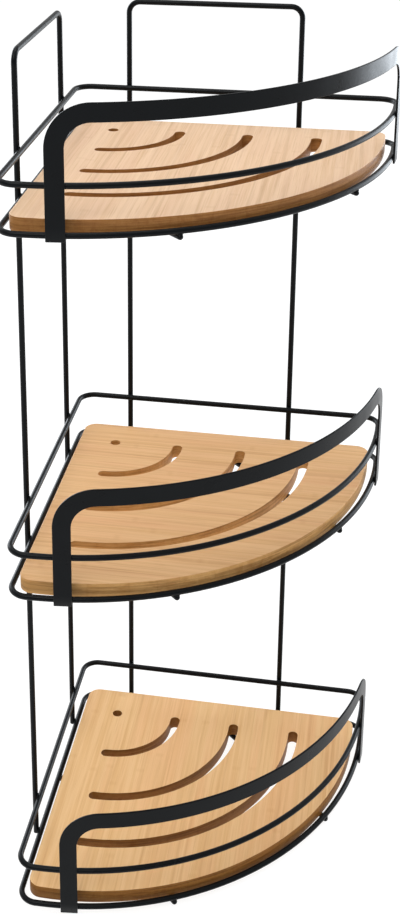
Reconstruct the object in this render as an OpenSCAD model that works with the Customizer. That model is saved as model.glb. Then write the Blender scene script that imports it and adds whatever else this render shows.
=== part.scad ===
// Three-tier corner shower caddy: bent steel wire frame, flat-bar front guards, drained bamboo boards.
// The walls meet behind the part: one wall is along X at the back (+Y), the other along Y at the left (-X).
// The rounded front faces +X and -Y. Each tier hangs on the same two inverted-U uprights.

/* [Tiers] */
// Straight side of a ring, from the wall corner to the end of the front arc, wire centre to wire centre
ring_side = 230; // [180:5:280]
// Centre of the front arc, in from each straight side
arc_inset = 10; // [2:1:30]
// Height from one tier to the next
tier_pitch = 250; // [140:5:300]
// Height from the lower ring to the upper ring of a tier
ring_gap = 31; // [20:1:50]
// Bend radius of the ring at the wall corner
corner_bend_r = 12; // [8:1:25]
// Bend radius of the ring where a straight side turns into the front arc
end_bend_r = 12; // [8:1:20]

/* [Wire] */
// Diameter of every round wire
wire_d = 4; // [3:0.5:6]
// How far one wire sinks into the next where they are welded
weld_sink = 0.15; // [0.05:0.05:0.25]

/* [Uprights] */
// First leg of an upright, from the wall corner
upright_near = 38; // [25:1:60]
// Second leg of an upright, from the wall corner
upright_far = 162; // [130:1:175]
// Top bar of an upright, above the top tier's lower ring
upright_rise = 94; // [60:1:140]
// Bend radius of an upright
upright_bend_r = 8; // [5:1:20]

/* [Front guard] */
// Top edge of the guard, above the lower ring
guard_rise = 82; // [60:1:110]
// Width of the flat bar
guard_band = 12; // [8:1:16]
// Thickness of the flat bar
guard_thick = 1.5; // [1:0.25:3]
// Outer bend radius at the guard's upper corners
guard_bend_r = 28; // [18:1:35]
// Outer edge of a guard leg, in from the straight side
guard_inset = 31; // [22:1:45]
// How far the guard's legs end below the lower ring's centre
guard_drop = 3.3; // [2.5:0.1:5]

/* [Support wires] */
// Where a support wire leaves the straight side, from the wall corner
support_start = 100; // [60:1:120]
// How far a support wire runs on past the front arc's wire centre
support_tip = 2; // [2:0.5:8]
// How far a support wire runs on past the straight side's wire centre
support_tail = 1.5; // [0:0.5:3]

/* [Boards] */
// Thickness of a board
board_thick = 10; // [6:0.5:16]
// Gap between a board's straight edges and the wire beside them
board_side_gap = 3; // [1:0.5:6]
// Gap between the middle of a board's front edge and the wire in front of it
board_front_gap = 1; // [0.5:0.5:4]
// Centre of a board's front arc, in from each straight side of the ring
board_arc_inset = 18; // [12:1:40]
// Corner radius of a board
board_corner_r = 9; // [5:1:14]
// Gap left between a board and the support wires it lies on
board_seat_gap = 0.3; // [0.2:0.1:1]

/* [Drain slots] */
// Centre of the drain hole and of the slot arcs, in from each straight side of the ring
slot_centre = 33; // [25:1:45]
// Diameter of the drain hole
drain_d = 7.5; // [5:0.5:12]
// Width of a slot
slot_w = 7.5; // [5:0.5:12]
// Radius from one slot to the next
slot_pitch = 48; // [35:1:52]

/* [Hidden] */

black = [0.09, 0.10, 0.11];
bamboo = [0.85, 0.69, 0.48];
wire_fn = 48;
arc_fn = 240;
eps = 1;
top_tier = 2;
slot_count = 3;
butt_bead = 0.05;
butt_length = 1;

wire_r = wire_d / 2;
// Centre distance of two wires welded side by side or crossing
weld_step = wire_d - weld_sink;

// Ring: the front arc passes through the far end of each straight side
arc_r = sqrt(pow(ring_side - arc_inset, 2) + pow(arc_inset, 2));
end_bend_x = arc_inset + sqrt(pow(arc_r - end_bend_r, 2) - pow(end_bend_r - arc_inset, 2));
end_angle = atan2(end_bend_r - arc_inset, end_bend_x - arc_inset);
ring_reach = max(end_bend_x + end_bend_r, end_angle > 0 ? 0 : arc_inset + arc_r) + wire_r;

// Guard: a flat bar on the outside of the front arc
guard_in_r = arc_r + wire_r - weld_sink;
guard_out_r = guard_in_r + guard_thick;
guard_start = asin((guard_inset - arc_inset) / guard_out_r);
guard_corner_angle = guard_start + asin(guard_bend_r / guard_out_r);
guard_corner_z = guard_rise - guard_bend_r;
guard_h = guard_rise + guard_drop + 2 * eps;
guard_lap = 2;
guard_reach = arc_inset + guard_out_r * cos(guard_start);

// Support wires lie under the lower ring and carry the board
support_z = -weld_step;
support_end = arc_inset - support_start / 2
  + sqrt(pow(arc_r, 2) / 2 - pow(support_start, 2) / 4);
support_length = support_end * sqrt(2);

// Board: seated on the support wires, inside the lower ring
board_z = support_z + wire_r + board_seat_gap;
board_edge = wire_r + board_side_gap;
board_reach = arc_inset * sqrt(2) + arc_r - wire_r - board_front_gap;
board_arc_r = board_reach - board_arc_inset * sqrt(2);
board_bend_x = board_arc_inset
  + sqrt(pow(board_arc_r - board_corner_r, 2) - pow(board_edge + board_corner_r - board_arc_inset, 2));
board_bend_angle = atan2(board_edge + board_corner_r - board_arc_inset, board_bend_x - board_arc_inset);

// Place in the part's frame: origin under the middle of the part's box, on the surface it stands on
wall_reach = weld_step + wire_r;
front_reach = max(ring_reach, guard_reach);
half_box = (wall_reach + front_reach) / 2;
base_z = max(weld_step + wire_r, guard_drop);

// The wall corner's own frame: x runs along the left wall to the front, y along the back wall
module at_tier(tier) {
  translate([wall_reach - half_box, half_box - wall_reach, base_z + tier * tier_pitch])
    rotate(-90) children();
}

// The part is the same on both sides of the diagonal, so the other side swaps x and y
module swapped() {
  mirror([1, -1, 0]) children();
}

module both_sides() {
  children();
  swapped() children();
}

// A straight wire along +x
module wire_run(length) {
  rotate([0, 90, 0]) cylinder(d = wire_d, h = length, $fn = wire_fn);
}

// A bent wire in the xy plane, about the origin
module wire_bend(r, from_angle, to_angle) {
  rotate(from_angle)
    rotate_extrude(angle = to_angle - from_angle, $fn = arc_fn)
      translate([r, 0]) circle(d = wire_d, $fn = wire_fn);
}

// A fine collar where the front arc is butt welded to an end bend, about the front arc's centre
module butt_weld() {
  rotate(end_angle) translate([arc_r, 0, 0])
    rotate([90, 0, 0]) cylinder(r = wire_r + butt_bead, h = butt_length, center = true, $fn = wire_fn);
}

// One closed wire ring
module ring() {
  color(black) {
    translate([corner_bend_r, corner_bend_r]) wire_bend(corner_bend_r, 180, 270);
    both_sides() {
      translate([corner_bend_r, 0]) wire_run(end_bend_x - corner_bend_r);
      translate([end_bend_x, end_bend_r]) wire_bend(end_bend_r, -90, end_angle);
    }
    translate([arc_inset, arc_inset]) {
      wire_bend(arc_r, end_angle, 90 - end_angle);
      both_sides() butt_weld();
    }
  }
}

module lower_ring() {
  ring();
}

module upper_ring() {
  translate([0, 0, ring_gap]) ring();
}

// An inverted U of wire against the wall side of the rings, along x
module upright() {
  top_z = top_tier * tier_pitch + upright_rise;
  bend_z = top_z - upright_bend_r;
  color(black) translate([0, -weld_step, 0]) {
    for (x = [upright_near, upright_far])
      translate([x, 0, -wire_r]) cylinder(d = wire_d, h = bend_z + wire_r, $fn = wire_fn);
    translate([upright_near + upright_bend_r, 0, bend_z])
      rotate([90, 0, 0]) wire_bend(upright_bend_r, 90, 180);
    translate([upright_far - upright_bend_r, 0, bend_z])
      rotate([90, 0, 0]) wire_bend(upright_bend_r, 0, 90);
    translate([upright_near + upright_bend_r, 0, top_z])
      wire_run(upright_far - upright_near - 2 * upright_bend_r);
  }
}

module left_upright() {
  upright();
}

module back_upright() {
  swapped() upright();
}

// One end of the guard as a flat outline: a leg, a rounded corner about [0, 0] and the start of the band
module guard_end_outline() {
  leg_h = guard_corner_z + guard_drop;
  translate([-guard_bend_r, -leg_h]) square([guard_band, leg_h]);
  intersection() {
    difference() {
      circle(r = guard_bend_r, $fn = arc_fn);
      circle(r = guard_bend_r - guard_band, $fn = arc_fn);
    }
    translate([-guard_bend_r, 0]) square(guard_bend_r);
  }
  translate([0, guard_bend_r - guard_band]) square([guard_lap, guard_band]);
}

// That end as a thick plate facing away from the front arc's centre
module guard_end_plate() {
  sag = guard_out_r - sqrt(pow(guard_out_r, 2) - pow(guard_bend_r, 2));
  rotate(guard_corner_angle)
    translate([guard_in_r - sag - eps, 0, guard_corner_z])
      rotate([90, 0, 90]) linear_extrude(guard_thick + sag + 2 * eps) guard_end_outline();
}

// The straight run of the band, thicker than the bar
module guard_band_plate() {
  rotate(guard_corner_angle)
    rotate_extrude(angle = 90 - 2 * guard_corner_angle, $fn = arc_fn)
      translate([guard_in_r - eps, guard_rise - guard_band]) square([guard_thick + 2 * eps, guard_band]);
}

// The plates, cut to a bar of even thickness on the outside of the rings
module front_guard() {
  color(black) translate([arc_inset, arc_inset, 0]) intersection() {
    difference() {
      translate([0, 0, -guard_drop - eps]) cylinder(r = guard_out_r, h = guard_h, $fn = arc_fn);
      translate([0, 0, -guard_drop - 2 * eps]) cylinder(r = guard_in_r, h = guard_h + 2 * eps, $fn = arc_fn);
    }
    union() {
      both_sides() guard_end_plate();
      guard_band_plate();
    }
  }
}

// A straight wire under the lower ring, parallel to the diagonal, with a rounded front tip
module support_wire() {
  length = support_tail + support_length + support_tip - wire_r;
  color(black) translate([support_start, 0, support_z]) rotate(45) {
    translate([-support_tail, 0, 0]) wire_run(length);
    translate([length - support_tail, 0, 0]) sphere(d = wire_d, $fn = wire_fn);
  }
}

module left_support_wire() {
  support_wire();
}

module right_support_wire() {
  swapped() support_wire();
}

// What is cut off a front corner of a board to round it
module board_front_corner() {
  difference() {
    translate([board_bend_x, board_edge + board_corner_r]) polygon([
      [0, 0],
      [0, -2 * board_corner_r],
      [2 * board_corner_r, -2 * board_corner_r],
      2 * board_corner_r * [cos(board_bend_angle), sin(board_bend_angle)]
    ]);
    translate([board_bend_x, board_edge + board_corner_r]) circle(r = board_corner_r, $fn = arc_fn);
  }
}

// What is cut off the wall corner of a board to round it
module board_back_corner() {
  difference() {
    translate([board_edge - eps, board_edge - eps]) square(board_corner_r + eps);
    translate([board_edge, board_edge] + board_corner_r * [1, 1]) circle(r = board_corner_r, $fn = arc_fn);
  }
}

module board_outline() {
  difference() {
    intersection() {
      translate([board_edge, board_edge]) square(ring_side);
      translate([board_arc_inset, board_arc_inset]) circle(r = board_arc_r, $fn = arc_fn);
    }
    board_back_corner();
    both_sides() board_front_corner();
  }
}

// A quarter-turn slot with round ends
module drain_slot(r) {
  rotate_extrude(angle = 90, $fn = arc_fn)
    translate([r - slot_w / 2, -eps]) square([slot_w, board_thick + 2 * eps]);
  both_sides() translate([r, 0, -eps]) cylinder(d = slot_w, h = board_thick + 2 * eps, $fn = wire_fn);
}

module board() {
  color(bamboo) translate([0, 0, board_z]) difference() {
    linear_extrude(board_thick) board_outline();
    translate([slot_centre, slot_centre, 0]) {
      translate([0, 0, -eps]) cylinder(d = drain_d, h = board_thick + 2 * eps, $fn = wire_fn);
      for (i = [1:slot_count]) drain_slot(i * slot_pitch);
    }
  }
}

at_tier(0) left_upright();
at_tier(0) back_upright();

at_tier(0) lower_ring();  // bottom_lower_ring
at_tier(0) upper_ring();  // bottom_upper_ring
at_tier(0) front_guard();  // bottom_front_guard
at_tier(0) left_support_wire();  // bottom_left_support_wire
at_tier(0) right_support_wire();  // bottom_right_support_wire
at_tier(0) board();  // bottom_board

at_tier(1) lower_ring();  // middle_lower_ring
at_tier(1) upper_ring();  // middle_upper_ring
at_tier(1) front_guard();  // middle_front_guard
at_tier(1) left_support_wire();  // middle_left_support_wire
at_tier(1) right_support_wire();  // middle_right_support_wire
at_tier(1) board();  // middle_board

at_tier(2) lower_ring();  // top_lower_ring
at_tier(2) upper_ring();  // top_upper_ring
at_tier(2) front_guard();  // top_front_guard
at_tier(2) left_support_wire();  // top_left_support_wire
at_tier(2) right_support_wire();  // top_right_support_wire
at_tier(2) board();  // top_board
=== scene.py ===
import math
import random

import bmesh
import bpy
from mathutils import Matrix, Vector


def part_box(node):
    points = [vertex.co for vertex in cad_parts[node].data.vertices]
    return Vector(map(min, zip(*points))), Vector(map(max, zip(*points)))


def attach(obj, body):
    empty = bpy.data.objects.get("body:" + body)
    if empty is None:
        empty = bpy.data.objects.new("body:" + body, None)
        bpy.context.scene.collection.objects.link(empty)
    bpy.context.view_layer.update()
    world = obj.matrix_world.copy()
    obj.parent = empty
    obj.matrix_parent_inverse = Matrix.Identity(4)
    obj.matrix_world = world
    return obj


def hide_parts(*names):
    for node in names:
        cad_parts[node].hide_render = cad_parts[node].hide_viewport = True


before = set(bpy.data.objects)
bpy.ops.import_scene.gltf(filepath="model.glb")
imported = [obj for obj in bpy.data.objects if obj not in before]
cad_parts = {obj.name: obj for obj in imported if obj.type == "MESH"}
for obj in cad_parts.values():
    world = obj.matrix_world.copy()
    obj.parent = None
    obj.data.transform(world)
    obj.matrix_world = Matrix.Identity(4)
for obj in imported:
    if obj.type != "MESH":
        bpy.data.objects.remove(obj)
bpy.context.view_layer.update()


# ---------------------------------------------------------------- Camera
# A 57 mm lens 0.8 m above the floor, in front of the caddy's right side and above its top.
# It looks down about 19 degrees, and its film is shifted to bring the whole caddy into the frame.
camera_at = Vector((0.11256, -0.89587, 0.80484))
camera_turn = math.radians(-10.92)
camera_tilt = math.radians(-18.65)
camera_lean = math.radians(-0.31)

lens = bpy.data.cameras.new("studio_lens")
lens.sensor_width = 36
lens.lens = 57.2
lens.shift_x = 0.0875
lens.shift_y = -0.2921
lens.clip_start = 0.01
lens.clip_end = 60

look = Vector((
    math.sin(camera_turn) * math.cos(camera_tilt),
    math.cos(camera_turn) * math.cos(camera_tilt),
    math.sin(camera_tilt),
))
level = Vector((math.cos(camera_turn), -math.sin(camera_turn), 0))
upward = level.cross(look)
right = math.cos(camera_lean) * level + math.sin(camera_lean) * upward
top = math.cos(camera_lean) * upward - math.sin(camera_lean) * level
camera = bpy.data.objects.new("studio_camera", lens)
camera.matrix_world = Matrix((
    (right.x, top.x, -look.x, camera_at.x),
    (right.y, top.y, -look.y, camera_at.y),
    (right.z, top.z, -look.z, camera_at.z),
    (0, 0, 0, 1),
))
bpy.context.scene.collection.objects.link(camera)
bpy.context.scene.camera = camera


# ---------------------------------------------------------------- Studio
# A wide white light table under soft boxes, with a bright ceiling and back wall.
# The side behind the camera is dim, so faces turned to the front stay deeper in tone.
FLOOR_HALF = 9.0
FLOOR_PAINT = (0.18, 0.18, 0.18, 1)
FLOOR_GLOW = 0.90
BACKDROP = (1, 1, 1, 1)
CEILING_LIGHT = 0.95
FRONT_LIGHT = 0.08
SIDE_LIGHT = 0.9
WALL_FADE = (-0.9, 0.35)
CEILING_FADE = (0.15, 0.75)


def link_nodes(tree, *pairs):
    for source, target in pairs:
        tree.links.new(source, target)


floor_mesh = bpy.data.meshes.new("studio_floor")
floor_mesh.from_pydata(
    [(x * FLOOR_HALF, y * FLOOR_HALF, 0) for x, y in ((-1, -1), (1, -1), (1, 1), (-1, 1))],
    [], [(0, 1, 2, 3)],
)
floor = bpy.data.objects.new("studio_floor", floor_mesh)
bpy.context.scene.collection.objects.link(floor)

floor_paint = bpy.data.materials.new("floor_paint")
floor_paint.use_nodes = True
paint = floor_paint.node_tree.nodes["Principled BSDF"]
paint.inputs["Base Color"].default_value = FLOOR_PAINT
paint.inputs["Roughness"].default_value = 0.9
paint.inputs["Specular IOR Level"].default_value = 0.1
paint.inputs["Emission Color"].default_value = (1, 1, 1, 1)
paint.inputs["Emission Strength"].default_value = FLOOR_GLOW
floor_mesh.materials.append(floor_paint)

world = bpy.data.worlds.new("studio_world")
bpy.context.scene.world = world
world.use_nodes = True
sky = world.node_tree
sky.nodes.clear()
way = sky.nodes.new("ShaderNodeTexCoord")
parts = sky.nodes.new("ShaderNodeSeparateXYZ")
wall = sky.nodes.new("ShaderNodeMapRange")
wall.interpolation_type = "SMOOTHSTEP"
wall.inputs["From Min"].default_value, wall.inputs["From Max"].default_value = WALL_FADE
wall.inputs["To Min"].default_value = FRONT_LIGHT
wall.inputs["To Max"].default_value = SIDE_LIGHT
ceiling = sky.nodes.new("ShaderNodeMapRange")
ceiling.interpolation_type = "SMOOTHSTEP"
ceiling.inputs["From Min"].default_value, ceiling.inputs["From Max"].default_value = CEILING_FADE
ceiling.inputs["To Min"].default_value = 0.0
ceiling.inputs["To Max"].default_value = CEILING_LIGHT
brighter = sky.nodes.new("ShaderNodeMath")
brighter.operation = "MAXIMUM"
glow = sky.nodes.new("ShaderNodeBackground")
plain = sky.nodes.new("ShaderNodeBackground")
plain.inputs["Color"].default_value = BACKDROP
seen = sky.nodes.new("ShaderNodeLightPath")
choose = sky.nodes.new("ShaderNodeMixShader")
result = sky.nodes.new("ShaderNodeOutputWorld")
link_nodes(
    sky,
    (way.outputs["Generated"], parts.inputs[0]),
    (parts.outputs["Y"], wall.inputs["Value"]),
    (parts.outputs["Z"], ceiling.inputs["Value"]),
    (wall.outputs["Result"], brighter.inputs[0]),
    (ceiling.outputs["Result"], brighter.inputs[1]),
    (brighter.outputs[0], glow.inputs["Strength"]),
    (seen.outputs["Is Camera Ray"], choose.inputs[0]),
    (glow.outputs[0], choose.inputs[1]),
    (plain.outputs[0], choose.inputs[2]),
    (choose.outputs[0], result.inputs["Surface"]),
)


def softbox(name, size, power, place, aim, tint=(1, 1, 1)):
    lamp = bpy.data.lights.new(name, "AREA")
    lamp.shape = "RECTANGLE"
    lamp.size, lamp.size_y = size
    lamp.energy = power
    lamp.color = tint
    holder = bpy.data.objects.new(name, lamp)
    holder.location = place
    holder.rotation_euler = (Vector(aim) - Vector(place)).to_track_quat("-Z", "Y").to_euler()
    holder.visible_camera = False
    bpy.context.scene.collection.objects.link(holder)


softbox("overhead_softbox", size=(1.1, 1.1), power=10, place=(-0.3, 0.35, 2.1), aim=(0, 0, 0.3))
softbox("front_softbox", size=(1.6, 1.0), power=20, place=(-0.75, -1.6, 2.3), aim=(0, 0, 0.25),
        tint=(1, 0.985, 0.96))
softbox("right_softbox", size=(1.4, 1.2), power=30, place=(1.15, 1.4, 0.62), aim=(0, 0, 0.4),
        tint=(0.84, 0.92, 1))
softbox("left_softbox", size=(1.2, 1.2), power=20, place=(-1.3, 1.2, 0.62), aim=(0, 0, 0.4),
        tint=(0.86, 0.93, 1))
bpy.context.scene.view_settings.view_transform = "Standard"
bpy.context.scene.view_settings.look = "None"


# ---------------------------------------------------------------- Uprights, rings, support wires
# Mild steel wire, bent cold and welded where it crosses, then powder coated black in one piece.
# The coat is satin and slightly pebbled, and it pools a touch thicker in some places.
MM = 0.001
COAT_COLOUR = (0.0026, 0.0034, 0.0042, 1)
COAT_COLOUR_THIN = (0.0056, 0.0072, 0.0088, 1)
COAT_ROUGHNESS = 0.31
COAT_SPECULAR = 0.12
PEBBLE_SIZE = 0.9 * MM
PEBBLE_HEIGHT = 0.06 * MM
PATCH_SIZE = 18 * MM
TIERS = ("bottom", "middle", "top")


def wire_coat(name):
    coat = bpy.data.materials.new(name)
    coat.use_nodes = True
    tree = coat.node_tree
    shader = tree.nodes["Principled BSDF"]
    shader.inputs["Specular IOR Level"].default_value = COAT_SPECULAR
    place = tree.nodes.new("ShaderNodeTexCoord")

    pebble = tree.nodes.new("ShaderNodeTexNoise")
    pebble.inputs["Scale"].default_value = 1 / PEBBLE_SIZE
    pebble.inputs["Detail"].default_value = 2
    pebble.inputs["Roughness"].default_value = 0.45
    bump = tree.nodes.new("ShaderNodeBump")
    bump.inputs["Strength"].default_value = 0.55
    bump.inputs["Distance"].default_value = PEBBLE_HEIGHT

    patch = tree.nodes.new("ShaderNodeTexNoise")
    patch.inputs["Scale"].default_value = 1 / PATCH_SIZE
    patch.inputs["Detail"].default_value = 3
    sheen = tree.nodes.new("ShaderNodeMapRange")
    sheen.inputs["From Min"].default_value = 0.3
    sheen.inputs["From Max"].default_value = 0.7
    sheen.inputs["To Min"].default_value = COAT_ROUGHNESS - 0.05
    sheen.inputs["To Max"].default_value = COAT_ROUGHNESS + 0.06
    tone = tree.nodes.new("ShaderNodeMix")
    tone.data_type = "RGBA"
    tone.inputs["A"].default_value = COAT_COLOUR
    tone.inputs["B"].default_value = COAT_COLOUR_THIN

    link_nodes(
        tree,
        (place.outputs["Object"], pebble.inputs["Vector"]),
        (place.outputs["Object"], patch.inputs["Vector"]),
        (pebble.outputs["Fac"], bump.inputs["Height"]),
        (bump.outputs["Normal"], shader.inputs["Normal"]),
        (patch.outputs["Fac"], sheen.inputs["Value"]),
        (sheen.outputs["Result"], shader.inputs["Roughness"]),
        (patch.outputs["Fac"], tone.inputs["Factor"]),
        (tone.outputs["Result"], shader.inputs["Base Color"]),
    )
    return coat


black_coat = wire_coat("black_powder_coat")
wire_nodes = ["left_upright", "back_upright"] + [
    f"{tier}_{wire}"
    for tier in TIERS
    for wire in ("lower_ring", "upper_ring", "left_support_wire", "right_support_wire")
]
for name in wire_nodes:
    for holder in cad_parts[name].material_slots:
        holder.material = black_coat


# ---------------------------------------------------------------- Front guards
# A flat steel bar, rolled to the front arc and bent down at both ends into two legs.
# It is welded to the outside of both rings. Sheared edges are tumbled round before coating.
RING_SIDE = 230 * MM
ARC_INSET = 10 * MM
RING_ARC_R = math.hypot(RING_SIDE - ARC_INSET, ARC_INSET)
WIRE_R = 2 * MM
WELD_SINK = 0.15 * MM
BAR_WIDE = 12 * MM
BAR_THICK = 1.5 * MM
BAR_EDGE_R = 0.45 * MM
BAR_BEND_R = 22 * MM
BAR_INSET = 31 * MM
FLAT_HOLD = 0.35 * MM
FOOT_EASE = 0.35 * MM
FOOT_EDGE_R = 0.2 * MM
LEG_STEPS = 7
BEND_STEP = 5
RUN_STEPS = 72

wall_corners = {}
for tier in TIERS:
    ring_low, ring_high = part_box(f"{tier}_lower_ring")
    wall_corners[tier] = Vector((
        ring_low.x + WIRE_R, ring_high.y - WIRE_R, (ring_low.z + ring_high.z) / 2,
    ))


def from_corner(tier, along_back, along_left, height):
    """A point measured from the wall corner of a tier's lower ring, in the part's frame."""
    return wall_corners[tier] + Vector((along_back, -along_left, height))


def coated_piece(name, verts, faces):
    """A piece of the welded frame that is drawn afresh, in the same coat as the wires."""
    mesh = bpy.data.meshes.new(name)
    mesh.from_pydata(verts, [], faces)
    mesh.materials.append(black_coat)
    work = bmesh.new()
    work.from_mesh(mesh)
    bmesh.ops.recalc_face_normals(work, faces=work.faces)
    work.to_mesh(mesh)
    work.free()
    mesh.shade_smooth()
    piece = bpy.data.objects.new(name, mesh)
    bpy.context.scene.collection.objects.link(piece)
    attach(piece, "frame")
    return piece


def bar_section(wide, thick, edge_r, hold):
    """The rounded outline across the bar, with a point held close to each end of its wide flats."""
    corners, steps = [], 4
    for sx, sy, start in ((1, 1, 0), (-1, 1, 90), (-1, -1, 180), (1, -1, 270)):
        cx, cy = sx * (wide / 2 - edge_r), sy * (thick / 2 - edge_r)
        arc = [
            (cx + edge_r * math.cos(math.radians(start + 90 * i / steps)),
             cy + edge_r * math.sin(math.radians(start + 90 * i / steps)))
            for i in range(steps + 1)
        ]
        inner = (cx - sx * hold, cy + sy * edge_r)
        corners += arc + [inner] if sx * sy > 0 else [inner] + arc
    return corners


def bar_path(rise, drop, arc_length):
    """The bar's middle line, rolled out flat, as (along, height, turn) from foot to foot."""
    corner_z = rise - BAR_WIDE / 2 - BAR_BEND_R
    line = []
    for i in range(LEG_STEPS):
        line.append((-BAR_BEND_R, -drop + (corner_z + drop) * i / LEG_STEPS, 90))
    for turn in range(180, 90 - BEND_STEP, -BEND_STEP):
        line.append((
            BAR_BEND_R * math.cos(math.radians(turn)),
            corner_z + BAR_BEND_R * math.sin(math.radians(turn)),
            turn - 90,
        ))
    run = [
        (arc_length * i / RUN_STEPS, rise - BAR_WIDE / 2, 0)
        for i in range(1, RUN_STEPS // 2 + 1)
    ]
    half = line + run
    other = [(arc_length - along, height, -turn) for along, height, turn in reversed(half[:-1])]
    return half + other


section = bar_section(BAR_WIDE, BAR_THICK, BAR_EDGE_R, FLAT_HOLD)
blunt = bar_section(BAR_WIDE - 2 * FOOT_EASE, BAR_THICK - 2 * FOOT_EASE, FOOT_EDGE_R, FOOT_EDGE_R)
bar_middle_r = RING_ARC_R + WIRE_R - WELD_SINK + BAR_THICK / 2
bar_outer_r = bar_middle_r + BAR_THICK / 2
bar_start = math.asin((BAR_INSET - ARC_INSET) / bar_outer_r)
bar_turn_angle = bar_start + math.asin((BAR_BEND_R + BAR_WIDE / 2) / bar_outer_r)

for tier in TIERS:
    guard_low, guard_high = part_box(f"{tier}_front_guard")
    ring_middle = from_corner(tier, 0, 0, 0).z
    rise, drop = guard_high.z - ring_middle, ring_middle - guard_low.z
    arc_length = bar_middle_r * (math.pi / 2 - 2 * bar_turn_angle)
    path = bar_path(rise, drop, arc_length)
    ankles = [(along, height + FOOT_EASE, turn) for along, height, turn in (path[0], path[-1])]
    stations = [(path[0], blunt), (ankles[0], section)]
    stations += [(place, section) for place in path[1:-1]]
    stations += [(ankles[1], section), (path[-1], blunt)]

    verts, faces = [], []
    for (along, height, turn), outline in stations:
        across = (-math.sin(math.radians(turn)), math.cos(math.radians(turn)))
        for wide, deep in outline:
            angle = bar_turn_angle + (along + wide * across[0]) / bar_middle_r
            reach = bar_middle_r + deep
            verts.append(from_corner(
                tier,
                ARC_INSET + reach * math.cos(angle),
                ARC_INSET + reach * math.sin(angle),
                height + wide * across[1],
            ))
    count = len(section)
    for i in range(len(stations) - 1):
        for j in range(count):
            k = (j + 1) % count
            here, there = i * count, (i + 1) * count
            faces.append((here + j, here + k, there + k, there + j))
    faces.append(tuple(range(count)))
    faces.append(tuple(range((len(stations) - 1) * count, len(stations) * count)))
    guard = coated_piece(f"{tier}_guard_bar", verts, faces)
    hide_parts(f"{tier}_front_guard")


# ---------------------------------------------------------------- Weld beads
# Small beads of steel squeezed out where two wires cross, or where a guard leg meets a ring.
# They are coated with the frame, so they read as soft black lumps in the crooks of the wires.
RING_GAP = 31 * MM
UPRIGHT_LEGS = (38 * MM, 162 * MM)
SUPPORT_START = 100 * MM
WIRE_BEAD = (1.9 * MM, 1.9 * MM, 1.05 * MM)
GUARD_BEAD = (4.6 * MM, 1.9 * MM, 0.75 * MM)
GUARD_BEAD_SINK = 0.25 * MM
SEEDS_PER_TIER = 40


def bead(verts, faces, middle, axes, reach, seed):
    """One closed lump about middle, with its reach along each of three axes and an uneven skin."""
    chance = random.Random(seed)
    lobes = [(chance.uniform(0.03, 0.07), n, chance.uniform(0, 6.28)) for n in (2, 3, 5)]
    around, up = 14, 8
    first = len(verts)
    for i in range(1, up):
        lat = math.pi * (i / up - 0.5)
        for j in range(around):
            lon = 2 * math.pi * j / around
            swell = 1 + math.cos(lat) * sum(a * math.sin(n * lon + p) for a, n, p in lobes)
            spot = (
                math.cos(lat) * math.cos(lon) * swell,
                math.cos(lat) * math.sin(lon) * swell,
                math.sin(lat),
            )
            offset = sum((axis * r * s for axis, r, s in zip(axes, reach, spot)), Vector())
            verts.append(middle + offset)
    verts.append(middle - axes[2] * reach[2])
    verts.append(middle + axes[2] * reach[2])
    bottom, crown = len(verts) - 2, len(verts) - 1
    for i in range(up - 2):
        for j in range(around):
            k = (j + 1) % around
            a, b = first + i * around, first + (i + 1) * around
            faces.append((a + j, a + k, b + k, b + j))
    last = first + (up - 2) * around
    for j in range(around):
        k = (j + 1) % around
        faces.append((bottom, first + k, first + j))
        faces.append((crown, last + j, last + k))


X, Y, Z = Vector((1, 0, 0)), Vector((0, 1, 0)), Vector((0, 0, 1))
wire_touch = WIRE_R - WELD_SINK / 2
for number, tier in enumerate(TIERS):
    verts, faces = [], []
    seed = SEEDS_PER_TIER * number
    for height in (0, RING_GAP):
        for leg in UPRIGHT_LEGS:
            seed += 1
            bead(verts, faces, from_corner(tier, -wire_touch, leg, height),
                 (Y, Z, X), WIRE_BEAD, seed)
            seed += 1
            bead(verts, faces, from_corner(tier, leg, -wire_touch, height),
                 (X, Z, Y), WIRE_BEAD, seed)
        for angle in (bar_turn_angle - BAR_BEND_R / bar_middle_r,
                      math.pi / 2 - bar_turn_angle + BAR_BEND_R / bar_middle_r):
            seed += 1
            outward = Vector((math.cos(angle), -math.sin(angle), 0))
            sideways = Vector((math.sin(angle), math.cos(angle), 0))
            reach = RING_ARC_R + WIRE_R - WELD_SINK
            spot = from_corner(
                tier,
                ARC_INSET + reach * math.cos(angle),
                ARC_INSET + reach * math.sin(angle),
                height,
            )
            bead(verts, faces, spot - outward * GUARD_BEAD_SINK,
                 (sideways, Z, outward), GUARD_BEAD, seed)
    for swap in (False, True):
        crossing = (ARC_INSET - SUPPORT_START / 2
                    + math.sqrt(RING_ARC_R ** 2 / 2 - SUPPORT_START ** 2 / 4))
        for back, left in ((0, SUPPORT_START), (crossing, SUPPORT_START + crossing)):
            seed += 1
            back, left = (left, back) if swap else (back, left)
            bead(verts, faces, from_corner(tier, back, left, -wire_touch),
                 (X, Y, Z), WIRE_BEAD, seed)
    coated_piece(f"{tier}_weld_beads", verts, faces)


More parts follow.
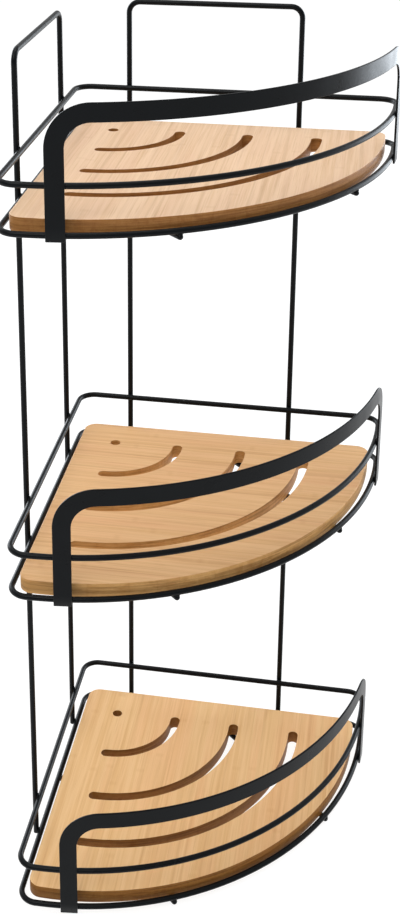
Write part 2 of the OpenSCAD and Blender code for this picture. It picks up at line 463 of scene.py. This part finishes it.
# ---------------------------------------------------------------- Bamboo boards
# A quarter-round board of laminated bamboo, routed with a drain hole and three curved slots.
# Every arris is eased by sanding, the faces are sealed matt, and it lies loose on its wires.
BOARD_EDGE = 5 * MM
BOARD_ARC_INSET = 18 * MM
BOARD_CORNER_R = 9 * MM
BOARD_FRONT_GAP = 1 * MM
SLOT_CENTRE = 33 * MM
SLOT_RADII = (48 * MM, 96 * MM, 144 * MM)
SLOT_HALF = 3.75 * MM
DRAIN_R = 3.75 * MM
OUTER_ARRIS_R = 0.5 * MM
SLOT_ARRIS_R = 0.2 * MM
ARRIS_HOLD = 0.4 * MM
FIRST_EDGE_STRIP = 3
STRIP_WIDE = 6.1 * MM
STRIP_WANDER = 0.9 * MM
KNUCKLE_EVERY = 260 * MM
PLY_THICK = 3.3 * MM
GRAIN_RELIEF = 0.05 * MM
FACE_SPECULAR = 0.22
EDGE_SPECULAR = 0.15
EDGE_SHADE = (0.48, 0.42, 0.36, 1)
GRAIN_PER_METRE = {
    "fibres": (28, 1500, 1500),
    "streaks": (7, 330, 330),
    "veins": (4, 210, 210),
    "clouds": (6, 40, 40),
    "edge_lines": (26, 26, 620),
}
# The last colour of each board darkens its sawn edges and slot walls: partly their own end-grain
# tone, partly painted shade, darkest on the bottom board and lightest on the middle one.
BOARD_LOOKS = {
    "bottom": {
        "grain": 90, "shift": (0.011, 0.23, 0.4),
        "tones": "honey", "edge_tone_and_shade": (0.44, 0.305, 0.138, 1),
    },
    "middle": {
        "grain": 0, "shift": (0.31, 0.047, 1.3),
        "tones": "amber", "edge_tone_and_shade": (0.92, 0.840, 0.620, 1),
    },
    "top": {
        "grain": 90, "shift": (0.083, 0.61, 2.2),
        "tones": "rosy", "edge_tone_and_shade": (0.57, 0.380, 0.178, 1),
    },
}
WOOD_TONES = {
    "honey": {
        "pale": (0.745, 0.490, 0.246, 1), "tan": (0.630, 0.362, 0.143, 1),
        "deep": (0.460, 0.205, 0.055, 1), "rosy": (0.720, 0.395, 0.190, 1),
    },
    "amber": {
        "pale": (0.740, 0.465, 0.235, 1), "tan": (0.610, 0.340, 0.138, 1),
        "deep": (0.400, 0.180, 0.052, 1), "rosy": (0.650, 0.345, 0.165, 1),
    },
    # The top board's tones are paler and less saturated than the others: partly its own tone,
    # partly painted sheen.
    "rosy": {
        "pale": (0.755, 0.530, 0.350, 1), "tan": (0.655, 0.420, 0.240, 1),
        "deep": (0.400, 0.215, 0.095, 1), "rosy": (0.670, 0.425, 0.275, 1),
    },
}


def arc_points(cx, cy, r, start, end, steps):
    return [
        (cx + r * math.cos(math.radians(start + (end - start) * i / steps)),
         cy + r * math.sin(math.radians(start + (end - start) * i / steps)))
        for i in range(steps + 1)
    ]


def board_outline(ease):
    """The edge of the board seen from above, moved into the wood by ease."""
    edge, r = BOARD_EDGE + ease, BOARD_CORNER_R - ease
    middle = BOARD_EDGE + BOARD_CORNER_R
    front = ARC_INSET * math.sqrt(2) + RING_ARC_R - WIRE_R - BOARD_FRONT_GAP
    arc_r = front - BOARD_ARC_INSET * math.sqrt(2)
    turn_x = BOARD_ARC_INSET + math.sqrt(
        (arc_r - BOARD_CORNER_R) ** 2 - (middle - BOARD_ARC_INSET) ** 2)
    turn = math.degrees(math.atan2(middle - BOARD_ARC_INSET, turn_x - BOARD_ARC_INSET))
    back_run = [(middle + (turn_x - middle) * i / 24, edge) for i in range(1, 24)]
    left_run = [(edge, middle + (turn_x - middle) * i / 24) for i in range(23, 0, -1)]
    return (
        arc_points(middle, middle, r, 180, 270, 10)
        + back_run
        + arc_points(turn_x, middle, r, -90, turn, 10)
        + arc_points(BOARD_ARC_INSET, BOARD_ARC_INSET, arc_r - ease, turn, 90 - turn, 90)[1:-1]
        + arc_points(middle, turn_x, r, 90 - turn, 180, 10)
        + left_run
    )


def slot_outline(r, ease):
    half = SLOT_HALF + ease
    steps = max(16, round(r / (3 * MM)))
    c = SLOT_CENTRE
    return (
        arc_points(c, c, r + half, 0, 90, steps)
        + arc_points(c, c + r, half, 90, 270, 12)[1:-1]
        + arc_points(c, c, r - half, 90, 0, steps)
        + arc_points(c + r, c, half, 180, 360, 12)[1:-1]
    )


def drain_outline(ease):
    return arc_points(SLOT_CENTRE, SLOT_CENTRE, DRAIN_R + ease, 0, 360, 28)[:-1]


def eased_profile(low, high, arris_r):
    """How far into the wood, and at what height, each line around the board runs."""
    arc = [
        (arris_r * (1 - math.cos(math.radians(a))), arris_r * (1 - math.sin(math.radians(a))))
        for a in (0, 22.5, 45, 67.5, 90)
    ]
    upper = [(ease, high - depth) for ease, depth in arc]
    lower = [(ease, low + depth) for ease, depth in reversed(arc)]
    inset = arris_r + ARRIS_HOLD
    return (
        [(inset, low)] + lower + [(0, low + inset)]
        + [(0, high - arris_r - ARRIS_HOLD)] + upper + [(inset, high)]
    )


def bamboo(name, cut, grain, shift, tones, edge_tone_and_shade):
    """Laminated bamboo: strips side by side, long fibres, faint knuckles. cut is face or edge."""
    wood = bpy.data.materials.new(name)
    wood.use_nodes = True
    tree = wood.node_tree
    shader = tree.nodes["Principled BSDF"]
    specular = FACE_SPECULAR if cut == "face" else EDGE_SPECULAR
    shader.inputs["Specular IOR Level"].default_value = specular

    def node(kind, **values):
        made = tree.nodes.new("ShaderNode" + kind)
        for key, value in values.items():
            setattr(made, key, value)
        return made

    def maths(operation, a, b=0.5):
        made = node("Math", operation=operation)
        for socket, value in zip(made.inputs, (a, b)):
            if isinstance(value, (int, float)):
                socket.default_value = value
            else:
                tree.links.new(value, socket)
        return made.outputs[0]

    def span(value, low, high, to_low=0.0, to_high=1.0):
        made = node("MapRange", interpolation_type="SMOOTHSTEP")
        tree.links.new(value, made.inputs["Value"])
        made.inputs["From Min"].default_value = low
        made.inputs["From Max"].default_value = high
        made.inputs["To Min"].default_value = to_low
        made.inputs["To Max"].default_value = to_high
        return made.outputs["Result"]

    def blend(factor, a, b, mode="MIX"):
        made = node("Mix", data_type="RGBA", blend_type=mode)
        for key, value in (("Factor", factor), ("A", a), ("B", b)):
            if isinstance(value, (int, float, tuple)):
                made.inputs[key].default_value = value
            else:
                tree.links.new(value, made.inputs[key])
        return made.outputs["Result"]

    def noise(vector, scale, detail, stretch=(1, 1, 1), roughness=0.5):
        stretched = node("VectorMath", operation="MULTIPLY")
        tree.links.new(vector, stretched.inputs[0])
        stretched.inputs[1].default_value = stretch
        made = node("TexNoise")
        tree.links.new(stretched.outputs[0], made.inputs["Vector"])
        made.inputs["Scale"].default_value = scale
        made.inputs["Detail"].default_value = detail
        made.inputs["Roughness"].default_value = roughness
        return made.outputs["Fac"]

    place = node("TexCoord")
    turned = node("Mapping", vector_type="POINT")
    turned.inputs["Rotation"].default_value = (0, 0, math.radians(grain))
    turned.inputs["Location"].default_value = shift
    tree.links.new(place.outputs["Object"], turned.inputs["Vector"])
    wood_at = turned.outputs["Vector"]
    axes = node("SeparateXYZ")
    tree.links.new(wood_at, axes.inputs[0])
    along, across, height = axes.outputs

    # strips about 6 mm wide, each from another part of the cane, with its own tone and knuckles
    wander = maths("MULTIPLY", maths("SUBTRACT", noise(wood_at, 8, 1), 0.5), STRIP_WANDER)
    strip_place = maths("DIVIDE", maths("ADD", across, wander), STRIP_WIDE)
    strip = maths("FLOOR", strip_place)
    chance = node("TexWhiteNoise", noise_dimensions="1D")
    tree.links.new(strip, chance.inputs["W"])
    strip_tone = chance.outputs["Value"]
    strip_colour = node("SeparateColor")
    tree.links.new(chance.outputs["Color"], strip_colour.inputs[0])

    fibre_place = node("CombineXYZ")
    tree.links.new(maths("ADD", along, maths("MULTIPLY", strip_tone, 7.0)), fibre_place.inputs["X"])
    tree.links.new(across, fibre_place.inputs["Y"])
    tree.links.new(height, fibre_place.inputs["Z"])
    fibres = noise(fibre_place.outputs[0], 1, 4, GRAIN_PER_METRE["fibres"], 0.6)
    streaks = noise(fibre_place.outputs[0], 1, 3, GRAIN_PER_METRE["streaks"], 0.55)
    veins = noise(fibre_place.outputs[0], 1, 2, GRAIN_PER_METRE["veins"], 0.5)
    clouds = noise(wood_at, 1, 2, GRAIN_PER_METRE["clouds"], 0.5)

    # the glue line between strips, thin and only a little darker
    edge_of_strip = maths("ABSOLUTE", maths("SUBTRACT", maths("FRACT", strip_place), 0.5))
    glue = span(edge_of_strip, 0.455, 0.5)

    # a knuckle crosses each strip about every 260 mm, as a soft darker band with a paler lip
    knuckle_start = maths("MULTIPLY", strip_colour.outputs[1], 3.1)
    knuckle_place = maths("DIVIDE", maths("ADD", along, knuckle_start), KNUCKLE_EVERY)
    knuckle_far = maths("ABSOLUTE", maths("SUBTRACT", maths("FRACT", knuckle_place), 0.5))
    knuckle = maths("SUBTRACT", 1.0, span(knuckle_far, 0.002, 0.011))
    lip_far = maths("ABSOLUTE", maths("SUBTRACT", knuckle_far, 0.016))
    knuckle_lip = maths("SUBTRACT", 1.0, span(lip_far, 0.0, 0.008))

    pale, tan, deep, rosy = (WOOD_TONES[tones][key] for key in ("pale", "tan", "deep", "rosy"))
    colour = blend(span(strip_tone, 0.0, 1.0, 0.30, 0.62), tan, pale)
    # each pattern, where on it a tone sets in and is full, and how strong that tone then is
    for pattern, sets_in, full, strength, tone in (
        (strip_colour.outputs[0], 0.66, 0.95, 0.40, rosy),
        (streaks, 0.36, 0.64, 0.72, pale),
        (clouds, 0.48, 0.70, 0.42, rosy),
        (veins, 0.50, 0.72, 0.30, deep),
        (fibres, 0.48, 0.74, 0.32, deep),
    ):
        colour = blend(span(pattern, sets_in, full, 0.0, strength), colour, tone)
    for pattern, strength, tone in (
        (glue, 0.12, deep), (knuckle, 0.10, deep), (knuckle_lip, 0.08, pale),
    ):
        colour = blend(maths("MULTIPLY", pattern, strength), colour, tone)
    if cut == "edge":
        # the sawn and sanded edge is multiplied darker, partly its own end-grain tone and partly
        # painted shade, and its plies show as level lines
        ply_place = maths("FRACT", maths("DIVIDE", height, PLY_THICK))
        ply = maths("ABSOLUTE", maths("SUBTRACT", ply_place, 0.5))
        lines = noise(wood_at, 1, 3, GRAIN_PER_METRE["edge_lines"], 0.6)
        colour = blend(1.0, colour, edge_tone_and_shade, "MULTIPLY")
        dark = blend(1.0, colour, EDGE_SHADE, "MULTIPLY")
        colour = blend(maths("MULTIPLY", span(ply, 0.44, 0.5), 0.55), colour, dark)
        colour = blend(maths("MULTIPLY", span(lines, 0.44, 0.66), 0.62), colour, dark)
    tree.links.new(colour, shader.inputs["Base Color"])
    tree.links.new(span(fibres, 0.3, 0.75, 0.42, 0.56), shader.inputs["Roughness"])
    hollows = maths("ADD", maths("MULTIPLY", glue, 0.35), knuckle)
    relief = maths("SUBTRACT", maths("MULTIPLY", fibres, 0.6), hollows)
    bump = node("Bump")
    bump.inputs["Strength"].default_value = 0.2
    bump.inputs["Distance"].default_value = GRAIN_RELIEF
    tree.links.new(relief, bump.inputs["Height"])
    tree.links.new(bump.outputs["Normal"], shader.inputs["Normal"])
    return wood


for tier in TIERS:
    board_low, board_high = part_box(f"{tier}_board")
    base = from_corner(tier, 0, 0, 0).z
    low, high = board_low.z - base, board_high.z - base
    loops = [(board_outline, OUTER_ARRIS_R), (drain_outline, SLOT_ARRIS_R)]
    loops += [
        (lambda ease, r=r: slot_outline(r, ease), SLOT_ARRIS_R)
        for r in SLOT_RADII
    ]

    work = bmesh.new()
    rims = {0: [], -1: []}
    for outline, arris_r in loops:
        rows = []
        for ease, height in eased_profile(low, high, arris_r):
            rows.append([work.verts.new(from_corner(tier, u, v, height)) for u, v in outline(ease)])
        count = len(rows[0])
        last_edge_strip = len(rows) - 2 - FIRST_EDGE_STRIP
        for i in range(len(rows) - 1):
            for j in range(count):
                k = (j + 1) % count
                side = work.faces.new((rows[i][j], rows[i][k], rows[i + 1][k], rows[i + 1][j]))
                side.smooth = True
                side.material_index = 1 if FIRST_EDGE_STRIP <= i <= last_edge_strip else 0
        for i in rims:
            rims[i] += [
                work.edges.get((rows[i][j], rows[i][(j + 1) % count]))
                for j in range(count)
            ]
    for edges in rims.values():
        flat = bmesh.ops.triangle_fill(work, use_beauty=True, use_dissolve=False, edges=edges)
        for item in flat["geom"]:
            if isinstance(item, bmesh.types.BMFace):
                item.smooth = True
                item.material_index = 0
    bmesh.ops.recalc_face_normals(work, faces=work.faces)
    mesh = bpy.data.meshes.new(f"{tier}_bamboo_board")
    work.to_mesh(mesh)
    work.free()
    for cut in ("face", "edge"):
        mesh.materials.append(bamboo(f"{tier}_bamboo_{cut}", cut, **BOARD_LOOKS[tier]))
    board = bpy.data.objects.new(f"{tier}_bamboo_board", mesh)
    bpy.context.scene.collection.objects.link(board)
    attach(board, f"{tier}_board")
    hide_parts(f"{tier}_board")
